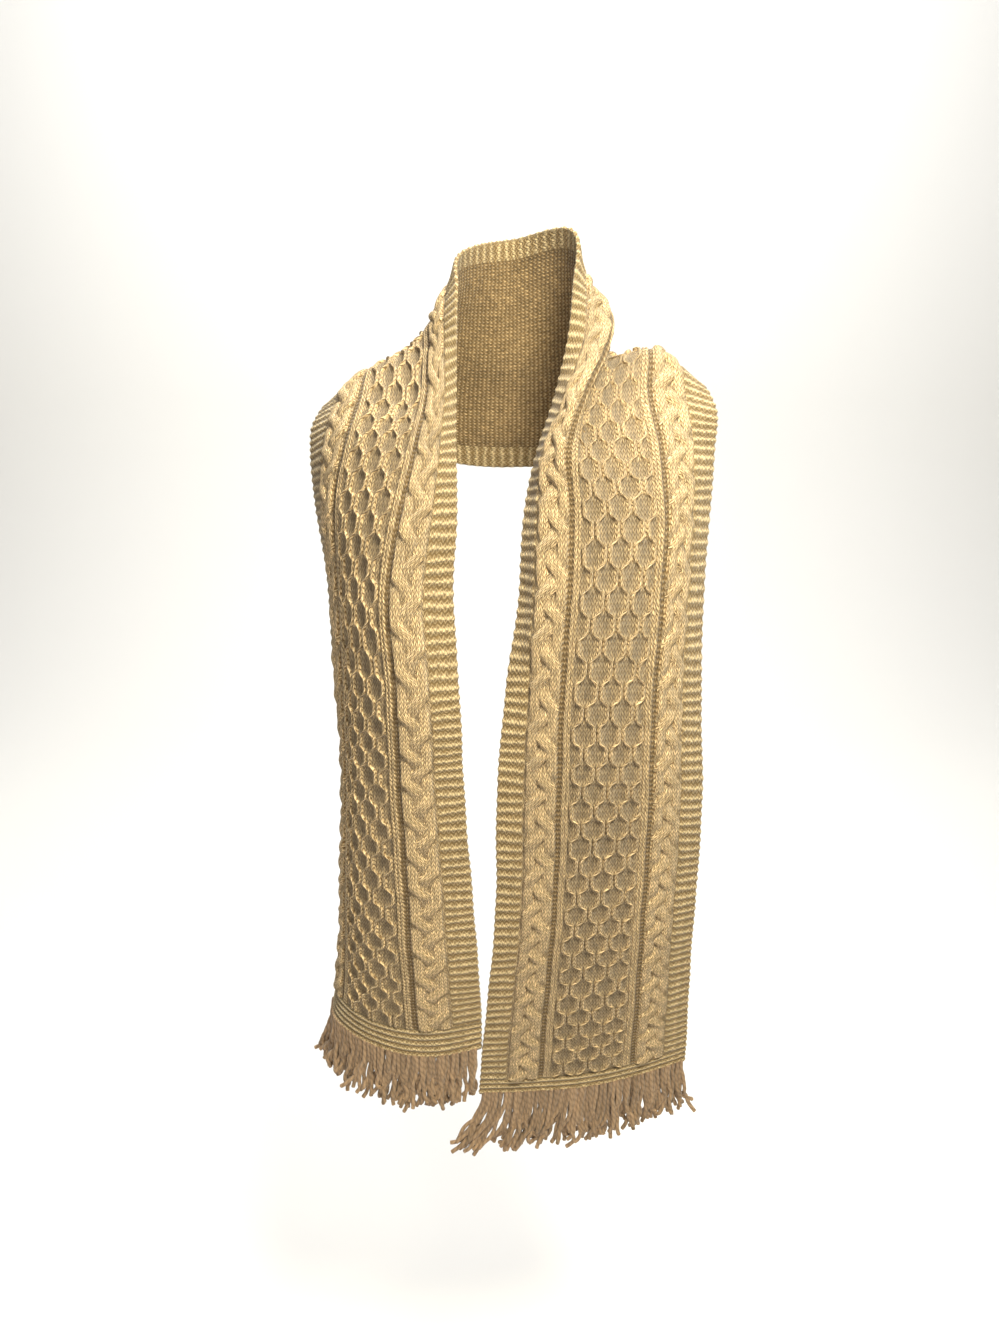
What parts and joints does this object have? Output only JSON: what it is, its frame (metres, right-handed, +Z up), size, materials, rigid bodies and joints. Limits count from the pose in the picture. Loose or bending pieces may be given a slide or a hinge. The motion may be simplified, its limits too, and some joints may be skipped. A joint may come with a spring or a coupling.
{
  "type": "cable knit scarf",
  "caption": "Wide cream wool scarf in cable and honeycomb knit with fringed ends, hung round a neck.",
  "frame": {"origin": "on the wearer's neck axis at the height of the shoulders, where the neck holds the scarf", "axes": "+Z up, -Y the way the wearer faces, +X the wearer's left"},
  "size_m": [0.4233, 0.2831, 0.9701],
  "materials": {
    "cream_wool": "knitted undyed wool",
    "fringe_wool": "loose plied wool yarn"
  },
  "bodies": {
    "root": {"left_front": "cream_wool", "left_shoulder": "cream_wool", "neck_back": "cream_wool", "right_shoulder": "cream_wool", "right_front": "cream_wool", "left_fringe": "fringe_wool", "right_fringe": "fringe_wool"}
  },
  "joints": []
}
